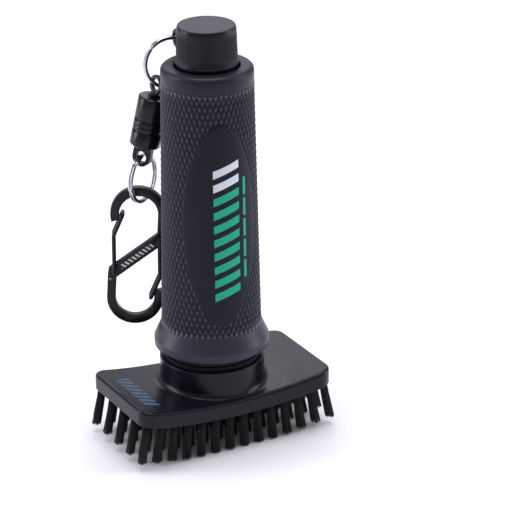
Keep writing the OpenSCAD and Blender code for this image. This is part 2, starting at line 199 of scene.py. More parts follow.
SETTINGS = {
    "brush_head": HeadSettings,
    "brush_grip": GripSettings,
    "brush_button": ButtonSettings,
    "brush_tether": TetherSettings,
    "brush_stage": StageSettings,
}


# ---------------------------------------------------------------- meshes

def mesh_piece(name, points, faces, material, body, replaced=()):
    """A smooth piece from points in millimetres and a list of faces, turned outwards."""
    mesh = bpy.data.meshes.new(name)
    mesh.from_pydata((np.asarray(points) * MM).tolist(), [], faces)
    mesh.validate()
    mesh.shade_smooth()
    piece = bpy.data.objects.new(name, mesh)
    bpy.context.scene.collection.objects.link(piece)
    piece.data.materials.append(material)
    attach(piece, body)
    if replaced:
        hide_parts(*replaced)
    return outward(piece)


def grid_faces(rows, columns, closed_rows=False, closed_columns=True, offset=0):
    """Quads of a grid of rows x columns points, which joins up round its columns or its rows if closed."""
    last_row = rows if closed_rows else rows - 1
    last_column = columns if closed_columns else columns - 1
    i, j = np.meshgrid(np.arange(last_row), np.arange(last_column), indexing="ij")
    i2 = (i + 1) % rows
    j2 = (j + 1) % columns
    quads = np.stack([i * columns + j, i * columns + j2, i2 * columns + j2, i2 * columns + j], axis=-1)
    return (quads.reshape(-1, 4) + offset).tolist()


def capped_grid(grid, low_pole=None, high_pole=None):
    """Points and faces of rings of points, first ring lowest, closed by a fan to a pole at each end."""
    rows, columns, _ = grid.shape
    points = grid.reshape(-1, 3)
    faces = grid_faces(rows, columns)
    ring = np.arange(columns)
    after = (ring + 1) % columns
    for pole, start, turned in ((low_pole, 0, True), (high_pole, (rows - 1) * columns, False)):
        if pole is None:
            continue
        tip = np.full(columns, len(points))
        points = np.vstack([points, [pole]])
        fan = (start + after, start + ring, tip) if turned else (start + ring, start + after, tip)
        faces += np.stack(fan, axis=-1).tolist()
    return points, faces


def revolved(profile, steps=160, wave=None):
    """Rings of points: each (radius, height) of the profile turned about +Z. wave(angle, row) adds to it."""
    profile = np.asarray(profile, float)
    angle = np.linspace(0, 2 * np.pi, steps, endpoint=False)
    radius = np.repeat(profile[:, :1], steps, axis=1)
    if wave is not None:
        radius = radius + wave(angle[None, :], np.arange(len(profile))[:, None])
    height = np.repeat(profile[:, 1:], steps, axis=1)
    return np.stack([radius * np.cos(angle), radius * np.sin(angle), height], axis=-1)


def rounded(profile, radius, steps=5):
    """The profile with each inner corner replaced by an arc that is tangent to the corner's two sides."""
    profile = np.asarray(profile, float)
    out = [profile[:1]]
    for before, corner, after in zip(profile[:-2], profile[1:-1], profile[2:]):
        a = before - corner
        b = after - corner
        la, lb = np.linalg.norm(a), np.linalg.norm(b)
        cosine = np.clip(np.dot(a, b) / (la * lb), -1, 1)
        half = np.arccos(cosine) / 2
        if half > 1.5:
            out.append(corner[None])
            continue
        back = min(radius / np.tan(half), 0.45 * la, 0.45 * lb)
        t = np.linspace(0, 1, steps)[:, None]
        start = corner + a / la * back
        end = corner + b / lb * back
        out.append((1 - t) ** 2 * start + 2 * t * (1 - t) * corner + t ** 2 * end)
    out.append(profile[-1:])
    return np.vstack(out)


def swept(path, section, closed=True, up=None):
    """Rings of the section's (across, along the binormal) points carried along a path.

    The binormal is up, less what it has along the path.
    """
    path = np.asarray(path, float)
    if closed:
        tangent = np.roll(path, -1, axis=0) - np.roll(path, 1, axis=0)
    else:
        tangent = np.gradient(path, axis=0)
    tangent /= np.linalg.norm(tangent, axis=1, keepdims=True)
    binormal = np.tile(np.asarray(up, float), (len(path), 1))
    binormal -= np.sum(binormal * tangent, axis=1, keepdims=True) * tangent
    binormal /= np.linalg.norm(binormal, axis=1, keepdims=True)
    across = np.cross(tangent, binormal)
    section = np.asarray(section, float)
    return (
        path[:, None, :]
        + across[:, None, :] * section[None, :, :1]
        + binormal[:, None, :] * section[None, :, 1:]
    )


def superellipse(half_a, half_b, steps=16, power=2.0):
    """Section points: half_a and half_b times signed powers of cosine and sine, round for power 2."""
    t = np.linspace(0, 2 * np.pi, steps, endpoint=False)
    c, s = np.cos(t), np.sin(t)
    e = 2 / power
    return np.stack([half_a * np.sign(c) * np.abs(c) ** e, half_b * np.sign(s) * np.abs(s) ** e], axis=-1)


def closed_sweep(name, path, section, up, material, body, replaced=()):
    """A closed loop of tube."""
    rings = swept(path, section, True, up)
    faces = grid_faces(rings.shape[0], rings.shape[1], closed_rows=True)
    return mesh_piece(name, rings.reshape(-1, 3), faces, material, body, replaced)


def open_sweep(name, path, section, up, material, body, replaced=()):
    """A tube with rounded ends: the last rings shrink towards the path and a pole closes each end."""
    path = np.asarray(path, float)
    section = np.asarray(section, float)
    rings = swept(path, section, False, up)
    rings = np.concatenate([rings[:1], rings, rings[-1:]], axis=0)
    rings[0] = path[0] + (rings[0] - path[0]) * 0.6
    rings[-1] = path[-1] + (rings[-1] - path[-1]) * 0.6
    points, faces = capped_grid(rings, path[0], path[-1])
    return mesh_piece(name, points, faces, material, body, replaced)


def outward(piece):
    """Turns the faces so that they point outwards."""
    work = bmesh.new()
    work.from_mesh(piece.data)
    bmesh.ops.recalc_face_normals(work, faces=work.faces)
    work.to_mesh(piece.data)
    work.free()
    return piece


def soften(piece, width):
    """A live bevel on the edges that turn by more than BEVEL_FROM, with its normals kept smooth."""
    bevel = piece.modifiers.new("Edges", "BEVEL")
    bevel.width = width
    bevel.segments = 2
    bevel.limit_method = "ANGLE"
    bevel.angle_limit = BEVEL_FROM
    bevel.harden_normals = True
    bevel.use_clamp_overlap = True


def from_cad(name, node, material, body, width):
    """A copy of a CAD node with its doubles merged, its flats joined up and its edges bevelled."""
    work = bmesh.new()
    work.from_mesh(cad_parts[node].data)
    bmesh.ops.remove_doubles(work, verts=work.verts, dist=2e-6)
    bmesh.ops.dissolve_limit(
        work, angle_limit=math.radians(0.5), verts=work.verts, edges=work.edges, use_dissolve_boundaries=False
    )
    mesh = bpy.data.meshes.new(name)
    work.to_mesh(mesh)
    work.free()
    mesh.shade_smooth()
    piece = bpy.data.objects.new(name, mesh)
    bpy.context.scene.collection.objects.link(piece)
    mesh.materials.append(material)
    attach(piece, body)
    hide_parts(node)
    soften(piece, width)


def tether_frame(at=(0, 0, 0), tilt=0.0, yaw=0.0):
    """Matrix for a piece drawn in the tether's plane.

    The piece turns about its own Z by yaw, tilts about Y, moves, and then turns with the tether.
    """
    local = Matrix.Translation(Vector(at)) @ Matrix.Rotation(math.radians(tilt), 4, "Y")
    local = local @ Matrix.Rotation(math.radians(yaw), 4, "Z")
    return np.array(Matrix.Rotation(TETHER_YAW, 4, "Z") @ local)


def placed(points, matrix):
    """Points carried through a 4 x 4 matrix."""
    points = np.asarray(points, float)
    return points @ matrix[:3, :3].T + matrix[:3, 3]


# ---------------------------------------------------------------- shader maths

class Value:
    """A shader socket that takes part in Python arithmetic; each operation adds a Math node."""

    def __init__(self, shader, socket):
        self.shader = shader
        self.socket = socket

    def math(self, operation, *others):
        return self.shader.node("ShaderNodeMath", {"operation": operation}, self, *others)

    def __add__(self, other):
        return self.math("ADD", other)

    def __sub__(self, other):
        return self.math("SUBTRACT", other)

    def __mul__(self, other):
        return self.math("MULTIPLY", other)

    def __rsub__(self, other):
        return self.shader.node("ShaderNodeMath", {"operation": "SUBTRACT"}, other, self)

    def __lt__(self, other):
        return self.math("LESS_THAN", other)

    def __gt__(self, other):
        return self.math("GREATER_THAN", other)

    __radd__ = __add__
    __rmul__ = __mul__

    def power(self, other):
        return self.math("POWER", other)

    def size(self):
        return self.math("ABSOLUTE")

    def wrapped(self):
        return self.math("FRACT")

    def clamped(self):
        return self.shader.node("ShaderNodeClamp", {}, self, 0.0, 1.0)

    def ramp(self, low, high):
        """0 below low and 1 above high, with a straight line between."""
        return ((self - low) * (1 / (high - low))).clamped()


class Shader:
    """A material whose nodes come from one method."""

    def __init__(self, name):
        self.material = bpy.data.materials.new(name)
        self.material.use_nodes = True
        self.tree = self.material.node_tree
        self.tree.nodes.clear()
        self.output = self.tree.nodes.new("ShaderNodeOutputMaterial")
        self.surface = self.tree.nodes.new("ShaderNodeBsdfPrincipled")
        self.tree.links.new(self.surface.outputs[0], self.output.inputs[0])
        self.coords = self.tree.nodes.new("ShaderNodeTexCoord").outputs["Object"]

    def feed(self, socket, value):
        if isinstance(value, Value):
            value = value.socket
        if isinstance(value, bpy.types.NodeSocket):
            self.tree.links.new(value, socket)
        elif value is not None:
            socket.default_value = value

    def node(self, kind, settings, *values, **named):
        """A node of a type: its settings first, then its sockets in order and by name."""
        node = self.tree.nodes.new(kind)
        for key, value in settings.items():
            setattr(node, key, value)
        for socket, value in zip(node.inputs, values):
            self.feed(socket, value)
        for key, value in named.items():
            self.feed(node.inputs[key.replace("_", " ")], value)
        return Value(self, node.outputs[0])

    def axes(self):
        """The object's x, y and z in millimetres."""
        split = self.tree.nodes.new("ShaderNodeSeparateXYZ")
        self.tree.links.new(self.coords, split.inputs[0])
        return [Value(self, split.outputs[i]) * (1 / MM) for i in range(3)]

    def noise(self, per_mm, detail=3.0, roughness=0.5):
        """Noise about 0 to 1 with its largest features 1 / per_mm millimetres wide."""
        return self.node(
            "ShaderNodeTexNoise", {},
            Vector=self.coords, Scale=per_mm / MM, Detail=detail, Roughness=roughness,
        )

    def mixed(self, factor, a, b):
        """Colour a where the factor is 0 and b where it is 1."""
        node = self.tree.nodes.new("ShaderNodeMix")
        node.data_type = "RGBA"
        self.feed(node.inputs["Factor"], factor)
        for socket, value in ((node.inputs[6], a), (node.inputs[7], b)):
            self.feed(socket, value if isinstance(value, Value) else (*value[:3], 1.0))
        return Value(self, node.outputs[2])

    def bump(self, height, depth_mm):
        return self.node("ShaderNodeBump", {}, Strength=1.0, Distance=depth_mm * MM, Height=height)

    def set(self, **sockets):
        for key, value in sockets.items():
            if isinstance(value, tuple) and len(value) == 3:
                value = (*value, 1.0)
            self.feed(self.surface.inputs[key.replace("_", " ")], value)
        return self.material


def shade(colour, factor):
    return tuple(channel * factor for channel in colour[:3])


def glossy_plastic(name, colour, mark=False):
    """Polished injection-moulded plastic with a faint orange peel, handling smears and fine dust."""
    s = Shader(name)
    smear = s.noise(0.06, 5.0, 0.6)
    speck = s.noise(3.0, 2.0).ramp(0.68, 0.78)
    base = s.mixed(speck * 0.5, colour[:3], shade(colour, 3.0))
    if mark:
        x, y, z = s.axes()
        pitch = 3.6
        step = ((y + (x + MARK_REACH) * 0.45) * (1 / pitch)).wrapped()
        strip = ((x + MARK_REACH).size() < 2.8) * ((y + 1.6).size() < 13.5)
        inside = strip * (z > 20.0) * (step < 0.55)
        base = s.mixed(inside * 0.9, base, (0.05, 0.12, 0.22))
    return s.set(
        Base_Color=base,
        Roughness=0.24 + smear.ramp(0.4, 0.75) * 0.1 + speck * 0.2,
        Normal=s.bump(s.noise(0.9, 1.0) * 0.5 + s.noise(6.0, 1.0) * 0.1, 0.012),
        Specular_IOR_Level=0.24,
    )


def satin_plastic(name, colour, rough=0.42, grain=0.02):
    """Spark-eroded plastic: an even fine grain with rubbed, shinier places."""
    s = Shader(name)
    rubbed = s.noise(0.12, 4.0, 0.6).ramp(0.5, 0.8)
    cloud = s.noise(0.35, 4.0)
    return s.set(
        Base_Color=s.mixed(cloud, shade(colour, 0.85), shade(colour, 1.2)),
        Roughness=rough - rubbed * 0.1,
        Specular_IOR_Level=0.24,
        Normal=s.bump(s.noise(5.0, 3.0, 0.7), grain),
    )


def knurled_rubber(name, colour, relief):
    """Moulded rubber: smooth crests, paler from wear and painted highlight; rougher valleys in painted shade.
    """
    s = Shader(name)
    x, y, z = s.axes()
    radius = (x * x + y * y).power(0.5)
    slope = (GRIP_TOP_R - GRIP_FOOT_R) / (KNURL_TOP - KNURL_FOOT)
    cone = (z - KNURL_FOOT) * slope + GRIP_FOOT_R
    crest = ((radius - cone) * (1 / relief) + 1.0).clamped()
    knurl_zone = z > KNURL_FOOT
    # The plain skirt below the knurl gets a fixed, near-crest paleness as a painted highlight.
    crest = knurl_zone * crest + (1.0 - knurl_zone) * 0.9
    cloud = s.noise(0.25, 4.0)
    # Painted shade in the valleys and painted highlight on the crests: 0.3 to 2.4 times the rubber's colour.
    base = s.mixed(crest * 0.8 + cloud * 0.2, shade(colour, 0.3), shade(colour, 2.4))
    return s.set(
        Base_Color=base,
        Roughness=0.58 - crest * 0.2 + cloud * 0.06,
        Coat_Weight=crest.power(2.0) * (knurl_zone * 0.5 + 0.25),
        Coat_Roughness=0.28,
        Specular_IOR_Level=0.22,
        Normal=s.bump(s.noise(4.0, 3.0, 0.7), 0.03),
    )


def printed_panel(name, colour, green, white):
    """Smooth rubber panel with pad-printed slanting bars, two white ones over a run of green ones."""
    s = Shader(name)
    x, y, z = s.axes()
    side = y * math.cos(PANEL_YAW) - x * math.sin(PANEL_YAW)
    slanted = z - side * 0.35
    bars = ((slanted - PRINT_FOOT) * (1 / 5.4)).wrapped() < 0.56
    column = (side - 2.0).size() < 5.0
    green_part = bars * column * (slanted > PRINT_FOOT) * (slanted < GREEN_TOP)
    white_part = bars * column * (slanted > GREEN_TOP) * (slanted < WHITE_TOP)
    rule = ((side - 9.3).size() < 0.5) * (z > RULE_FOOT) * (z < RULE_TOP)
    dashes = (((z - RULE_FOOT) * (1 / 8.2)).wrapped() < 0.84) * rule
    ink_wear = s.noise(1.6, 4.0, 0.7).ramp(0.24, 0.34)
    cloud = s.noise(0.3, 4.0)
    base = s.mixed(cloud, shade(colour, 0.85), shade(colour, 1.25))
    base = s.mixed((green_part + dashes).clamped() * ink_wear, base, green)
    base = s.mixed(white_part * ink_wear, base, white)
    ink = (green_part + dashes + white_part).clamped()
    return s.set(
        Base_Color=base,
        Roughness=0.4 + cloud * 0.08 - ink * 0.06,
        Specular_IOR_Level=0.16,
        Normal=s.bump(s.noise(4.0, 3.0, 0.7) * 0.5 + ink * 0.6, 0.025),
    )


def nylon(name, colour):
    """Nylon filament: dark and shiny, with paler worn tips."""
    s = Shader(name)
    z = s.axes()[2]
    worn = 1.0 - z.ramp(0.0, 2.5)
    streak = s.noise(2.2, 2.0)
    return s.set(
        Base_Color=s.mixed(worn * 0.6 + streak * 0.4, shade(colour, 0.8), shade(colour, 2.6)),
        Roughness=0.32 + streak * 0.14,
        Specular_IOR_Level=0.3,
        Normal=s.bump(streak, 0.01),
    )


def chromed(name, colour, rough=0.09):
    """Nickel-plated wire with fine drawing lines and a few dull spots."""
    s = Shader(name)
    spots = s.noise(0.8, 4.0, 0.6)
    return s.set(
        Base_Color=s.mixed(spots.ramp(0.45, 0.8), colour[:3], shade(colour, 0.72)),
        Metallic=1.0,
        Roughness=rough + spots * 0.12,
        Normal=s.bump(s.noise(7.0, 2.0), 0.01),
    )


def anodised(name, colour, rough=0.24, mark=None):
    """Black anodised aluminium with a fine blasted grain.

    A mark is the colour of a row of ticks along the carabiner's spine.
    """
    s = Shader(name)
    cloud = s.noise(0.4, 4.0, 0.6)
    base = s.mixed(cloud, shade(colour, 0.8), shade(colour, 1.6))
    if mark is not None:
        x, y, z = s.axes()
        cosine, sine = math.cos(TETHER_YAW), math.sin(TETHER_YAW)
        sideways = x * cosine + y * sine - CLIP_AT[0]
        behind = y * cosine - x * sine - CLIP_AT[1]
        height = z - CLIP_AT[2]
        slope = math.radians(SPINE_ANGLE - CLIP_TILT)
        along = sideways * math.cos(slope) + height * math.sin(slope)
        across = height * math.cos(slope) - sideways * math.sin(slope)
        ticks = ((along + across * 0.4) * (1 / 1.7)).wrapped() < 0.5
        base = s.mixed(ticks * (along.size() < 7.6) * (across.size() < 0.9) * (behind < -1.2), base, mark)
    return s.set(
        Base_Color=base,
        Roughness=rough + cloud * 0.12,
        Specular_IOR_Level=0.28,
        Normal=s.bump(s.noise(6.0, 3.0, 0.7), 0.012),
    )


def moulded_seal(name, colour):
    """Soft sealing rubber with a matt bloom."""
    s = Shader(name)
    bloom = s.noise(0.7, 4.0, 0.6)
    return s.set(
        Base_Color=s.mixed(bloom, colour[:3], shade(colour, 2.0)),
        Roughness=0.5 + bloom * 0.2,
        Specular_IOR_Level=0.16,
        Normal=s.bump(s.noise(3.0, 3.0), 0.03),
    )


def turned_steel(name, colour):
    """Turned steel: fine rings round the axis."""
    s = Shader(name)
    z = s.axes()[2]
    rings = (z * 3.0 + s.noise(0.4) * 0.6).wrapped()
    return s.set(
        Base_Color=s.mixed(rings, colour[:3], shade(colour, 0.85)),
        Metallic=1.0,
        Roughness=0.24 + rings * 0.1,
        Normal=s.bump(rings, 0.008),
    )


# ---------------------------------------------------------------- the head

def outline_reach(angle, inset, corner_r=CORNER_R):
    """Distance from the head's axis to its rounded rectangle, moved in by inset.

    The ray d meets a straight side, or the corner's circle about c at d.c + sqrt((d.c)^2 - |c|^2 + r^2).
    """
    a, b = HEAD_HALF[0] - inset, HEAD_HALF[1] - inset
    r = max(corner_r - inset, 0.5)
    c, s = np.abs(np.cos(angle)) + 1e-9, np.abs(np.sin(angle)) + 1e-9
    side = np.minimum(a / c, b / s)
    dot = c * (a - r) + s * (b - r)
    corner = dot + np.sqrt(np.maximum(dot ** 2 - (a - r) ** 2 - (b - r) ** 2 + r ** 2, 0))
    in_corner = (side * c > a - r) & (side * s > b - r)
    return np.where(in_corner, corner, side)


def even_angles(count):
    """Angles at even steps of length along the head's outline."""
    fine = np.linspace(0, 2 * np.pi, 20001)
    reach = outline_reach(fine, 0.0)
    points = np.stack([reach * np.cos(fine), reach * np.sin(fine)], axis=-1)
    length = np.concatenate([[0], np.cumsum(np.linalg.norm(np.diff(points, axis=0), axis=1))])
    return np.interp(np.linspace(0, length[-1], count, endpoint=False), length, fine)


def plate_height(x, depth):
    """Height of the bent plate's layer at a depth above its underside.

    It is the rocker's centre less sqrt((R - depth)^2 - x^2).
    """
    return ROCKER_Z - np.sqrt((ROCKER_R - depth) ** 2 - x ** 2)


def make_head(settings, plastic):
    """Rings round the head's axis: the underside's pocket, the rim, the top, the collar and its bore."""
    angle = even_angles(480)
    edge = settings.edge / MM
    cosine, sine = np.cos(angle), np.sin(angle)
    radii, heights = [], []

    def plate_ring(inset, depth, scale=1.0, corner_r=CORNER_R):
        reach = outline_reach(angle, inset, corner_r) * scale
        radii.append(reach)
        heights.append(plate_height(reach * cosine, depth))

    pocket_r = BLOCK_CORNER_R + BLOCK_INSET
    for scale in (0.15, 0.5, 1.0):
        plate_ring(BLOCK_INSET, BLOCK_T, scale, pocket_r)
    plate_ring(BLOCK_INSET, 0.1, 1.0, pocket_r)
    plate_ring(BLOCK_INSET - 0.1, 0.0, 1.0, pocket_r)
    plate_ring(0.6, 0.0)
    for turn in np.linspace(0, np.pi / 2, 5):
        plate_ring(0.4 * (1 - np.sin(turn)), 0.4 * (1 - np.cos(turn)))
    for depth in (0.7, 2.0, PLATE_T - edge - 1.0, PLATE_T - edge - 0.3):
        plate_ring(0.0, depth)
    for turn in np.linspace(0, np.pi / 2, 9):
        plate_ring(edge * (1 - np.cos(turn)), PLATE_T - edge * (1 - np.sin(turn)))
    reach = outline_reach(angle, edge)
    foot = np.minimum(COLLAR_R + COLLAR_FILLET, reach - 0.25)
    for part in (0.04, 0.2, 0.4, 0.6, 0.8, 0.96, 1.0):
        radius = reach + (foot - reach) * part
        radii.append(radius)
        heights.append(plate_height(radius * cosine, PLATE_T))
    flare = foot - COLLAR_R
    base = heights[-1]
    for turn in np.linspace(0, np.pi / 2, 10)[1:]:
        radii.append(COLLAR_R + flare * (1 - np.sin(turn)))
        heights.append(base + flare * (1 - np.cos(turn)))
    low = heights[-1]
    for part in (0.06, 0.35, 0.65, 0.94, 1.0):
        radii.append(np.full_like(angle, COLLAR_R))
        heights.append(low + (COLLAR_TOP - 0.7 - low) * part)
    lip = rounded([
        (COLLAR_R, COLLAR_TOP - 0.6), (COLLAR_R, COLLAR_TOP), (BORE_R, COLLAR_TOP), (BORE_R, COLLAR_TOP - 2)
    ], 0.6)
    for radius, height in lip[1:]:
        radii.append(np.full_like(angle, radius))
        heights.append(np.full_like(angle, height))
    for radius, height in ((BORE_R, BORE_FLOOR), (BORE_R - 0.2, BORE_FLOOR), (4.0, BORE_FLOOR)):
        radii.append(np.full_like(angle, radius))
        heights.append(np.full_like(angle, height))
    radii, heights = np.array(radii), np.array(heights)
    grid = np.stack([radii * cosine, radii * sine, heights], axis=-1)
    points, faces = capped_grid(grid, (0, 0, plate_height(0, BLOCK_T)), (0, 0, BORE_FLOOR))
    return mesh_piece("head_moulding", points, faces, plastic, "head", ("head_shell",))


def make_tufts(settings, row, material):
    """Filaments stand on a sunflower pattern in each tuft and fan out from the rocker's centre.

    They end on the bristle face: its radius from that centre, or less where that would go under the table.
    """
    low, high = span("tuft_row_%d" % row)
    count = TUFTS_IN_ROW[row - 1]
    across = (low[1] + high[1]) / 2
    rng = np.random.default_rng(40 + row)
    number = settings.filaments
    spread = np.arange(number) + 0.5
    turn = spread * np.pi * (3 - np.sqrt(5))
    disc = np.sqrt(spread / number)
    place = np.stack([disc * np.cos(turn), disc * np.sin(turn)], axis=-1)
    x = np.linspace(-ROW_HALF, ROW_HALF, count)
    lean = np.arcsin(x / ROCKER_R)[:, None]
    tip = np.minimum(np.hypot(ROCKER_Z, FLAT_HALF), ROCKER_Z / np.cos(lean))
    tip = tip - rng.random((count, number)) * 0.45
    root = ROCKER_R - 1.0
    rise = np.array([0.0, 0.35, 0.7, 0.96, 1.0])[:, None, None]
    reach = root + (tip - root) * rise
    width = 1.5 + 0.3 * rise ** 1.5
    jitter = rng.normal(0, 0.13, (2, 1, count, number)) * rise ** 2
    splay = 0.03 * across * rise ** 2
    splay_x = 0.4 * np.clip(x / ROW_HALF, -1, 1)[:, None] ** 3 * rise ** 2
    centre_x = reach * np.sin(lean) + place[None, None, :, 0] * width + jitter[0] + splay_x
    filament = settings.filament / MM
    centre_x = np.clip(centre_x, low[0] + filament, high[0] - filament)
    centre_y = across + place[None, None, :, 1] * width + jitter[1] + splay
    centre_z = ROCKER_Z - reach * np.cos(lean) + 0 * centre_x
    sides = 5
    around = np.linspace(0, 2 * np.pi, sides, endpoint=False)
    thick = filament * np.array([1, 1, 1, 0.95, 0.5])[:, None, None, None]
    rings = np.stack([
        centre_x[..., None] + thick * np.cos(around),
        centre_y[..., None] + thick * np.sin(around),
        np.broadcast_to(centre_z[..., None], centre_x.shape + (sides,)),
    ], axis=-1)
    rings = np.moveaxis(rings, 0, 2).reshape(count * number, 5, sides, 3)
    rings[..., 2] = np.maximum(rings[..., 2], 0.0)
    fibres = len(rings)
    single = grid_faces(5, sides)
    start = (np.arange(fibres) * 5 * sides)[:, None, None]
    quads = (np.array(single)[None] + start).reshape(-1, 4).tolist()
    ends = np.array([[4 * sides + k for k in range(sides)], [k for k in range(sides)][::-1]])
    caps = (ends[None] + start).reshape(-1, sides).tolist()
    name = "tufts_%d" % row
    replaced = ("tuft_row_%d" % row,)
    return mesh_piece(name, rings.reshape(-1, 3), quads + caps, material, "head", replaced)


# ---------------------------------------------------------------- the grip

def grip_radius(height):
    """Radius of the knurl's crests at a height."""
    part = (height - KNURL_FOOT) / (KNURL_TOP - KNURL_FOOT)
    return GRIP_FOOT_R + (GRIP_TOP_R - GRIP_FOOT_R) * part


def panel_distance(angle, height):
    """1 on the oval's edge, less inside it, from the sideways and upward distances. Large behind the grip."""
    side = grip_radius(height) * np.sin(angle - PANEL_YAW)
    oval = np.hypot(side / PANEL_HALF[0], (height - PANEL_MID) / PANEL_HALF[1])
    behind = 9.0
    return np.where(np.cos(angle - PANEL_YAW) > 0, oval, behind)


def knurl_depth(angle, height, settings):
    """Depth under the crests of two crossing families of helical grooves.

    The height over the grooves is the smaller distance to either family, and a diamond stands only if its
    middle lies between the knurl's two ends.
    """
    across = angle / (2 * np.pi) * settings.diamonds
    cell = (KNURL_TOP - KNURL_FOOT) / settings.rows
    up = (height - KNURL_FOOT) / cell
    relief = settings.relief / MM
    stands = np.zeros_like(across, bool)
    for du, dv in ((0.02, 0.0), (-0.02, 0.0), (0.0, 0.02), (0.0, -0.02)):
        first = np.floor(across + du + up + dv) + 0.5
        second = np.floor(across + du - up - dv) + 0.5
        middle_height = KNURL_FOOT + (first - second) / 2 * cell
        inside = (middle_height > KNURL_FOOT + 0.3) & (middle_height < KNURL_TOP - 0.3)
        stands |= inside
    first = np.abs((across + up) - np.round(across + up)) * 2
    second = np.abs((across - up) - np.round(across - up)) * 2
    crest = np.clip(np.minimum(first, second) * 1.15, 0, 1)
    depth = np.where(stands, relief * (1 - crest), 0.0)
    return np.where(panel_distance(angle, height) < 0.99, 0.5, depth)


def make_grip(settings, rubber):
    """The sleeve as a tube closed round its section: skirt, cone, knurl and bore."""
    columns = settings.diamonds * 6
    angle = np.linspace(0, 2 * np.pi, columns, endpoint=False)[None, :]
    skirt = rounded([
        (SLEEVE_BORE_R, FLARE_Z), (FLARE_R, FLARE_Z), (FLARE_R, FLARE_TOP), (GRIP_FOOT_R, KNURL_FOOT)
    ], 0.5, 6)[:-1]
    cone = np.linspace(skirt[-1], (GRIP_FOOT_R, KNURL_FOOT), 9)[1:-1]
    skirt = np.vstack([skirt, cone])
    knurl = np.linspace(KNURL_FOOT, KNURL_TOP - 0.05, settings.rows * 12 + 1)
    bore = np.array([(GRIP_TOP_R - 0.4, KNURL_TOP), (SLEEVE_BORE_R, KNURL_TOP)])
    low = skirt[:, :1] + 0 * angle
    level = knurl[:, None]
    middle = grip_radius(level) - knurl_depth(angle + 0 * level, level + 0 * angle, settings)
    high = bore[:, :1] + 0 * angle
    radius = np.vstack([low, middle, high])
    height = np.concatenate([skirt[:, 1], knurl, bore[:, 1]])[:, None] + 0 * angle
    grid = np.stack([radius * np.cos(angle), radius * np.sin(angle), height], axis=-1)
    faces = grid_faces(grid.shape[0], columns, closed_rows=True)
    points = grid.reshape(-1, 3)
    return mesh_piece("grip_rubber", points, faces, rubber, "handle", ("grip_sleeve",))


def make_panel(settings, material):
    """An oval skin on the grip's cone: rings of the ellipse, lifted a little and rolled down at the edge."""
    theta = np.linspace(0, 2 * np.pi, 200, endpoint=False)[None, :]
    inner = np.linspace(0.95, 0.04, 26)
    part = np.concatenate([[0.2, 0.7, 1.0, 1.02, 1.015, 1.0, 0.985, 0.97], inner])[:, None]
    flat = np.full(len(inner), 0.1)
    lift = np.concatenate([[-0.45, -0.45, -0.4, -0.2, -0.02, 0.06, 0.09, 0.1], flat])[:, None]
    side = PANEL_HALF[0] * part * np.cos(theta)
    height = PANEL_MID + PANEL_HALF[1] * part * np.sin(theta)
    radius = grip_radius(height)
    angle = PANEL_YAW + np.arcsin(side / radius)
    grid = np.stack([(radius + lift) * np.cos(angle), (radius + lift) * np.sin(angle), height], axis=-1)
    middle = grip_radius(PANEL_MID)
    toward = np.array([np.cos(PANEL_YAW), np.sin(PANEL_YAW), 0])
    low_pole = toward * (middle - 0.45) + [0, 0, PANEL_MID]
    high_pole = toward * (middle + 0.1) + [0, 0, PANEL_MID]
    points, faces = capped_grid(grid, low_pole, high_pole)
    return mesh_piece("oval_panel", points, faces, material, "handle", ("label_panel",))


def make_top_collar(material):
    """A turned collar with a rounded shoulder, and the lug that the split ring hangs from."""
    edge = COLLAR_HIGH[0]
    top = 148.2
    throat, guide = 12.4, 3.0
    profile = rounded([
        (14.0, 139.5), (15.5, 139.5), (15.5, COLLAR_STEP), (edge, COLLAR_STEP), (edge, top),
        (throat, top), (throat, 136.0), (guide, 136.0), (guide, 132.0), (14.0, 132.0), (14.0, 139.0)
    ], 0.25, 4)
    shoulder = 2.1
    turn = np.linspace(0, np.pi / 2, 10)
    outer = np.stack([edge - shoulder * (1 - np.cos(turn)), top - shoulder * (1 - np.sin(turn))], axis=-1)
    start = np.argmin(np.hypot(profile[:, 0] - edge, profile[:, 1] - COLLAR_STEP)) + 1
    near = np.flatnonzero((profile[:, 0] > edge - 0.6) & (profile[:, 1] > top - 0.6))
    profile = np.vstack([profile[:start + 1], outer, profile[near.max() + 1:]])
    grid = revolved(profile, 200)
    faces = grid_faces(grid.shape[0], 200, closed_rows=True)
    points = grid.reshape(-1, 3)
    mesh_piece("top_collar_moulding", points, faces, material, "handle", ("top_collar",))
    yaw = math.radians(LUG_YAW)
    lug = np.array(LUG_AT)
    out = np.array([-math.sin(yaw), math.cos(yaw), 0])
    side = np.array([math.cos(yaw), math.sin(yaw), 0])
    home = tether_frame()
    angle = np.linspace(0, 2 * np.pi, 48, endpoint=False)[:, None]
    loop = lug + 2.9 * (np.cos(angle) * out + np.sin(angle) * np.array([0, 0, 1]))
    turned_side = home[:3, :3] @ side
    section = superellipse(0.7, 0.7, 16, 3.0)
    closed_sweep("lug_eye", placed(loop, home), section, turned_side, material, "handle")
    foot = lug - out * 4.4 - np.array([0, 0, 6.6])
    near_ring = lug - out * 1.9 - np.array([0, 0, 2.1])
    t = np.linspace(0, 1, 8)[:, None]
    run = placed(foot + (near_ring - foot) * t, home)
    section = superellipse(2.0, 0.7, 20, 4.0)
    open_sweep("lug_web", run, section, turned_side, material, "handle")


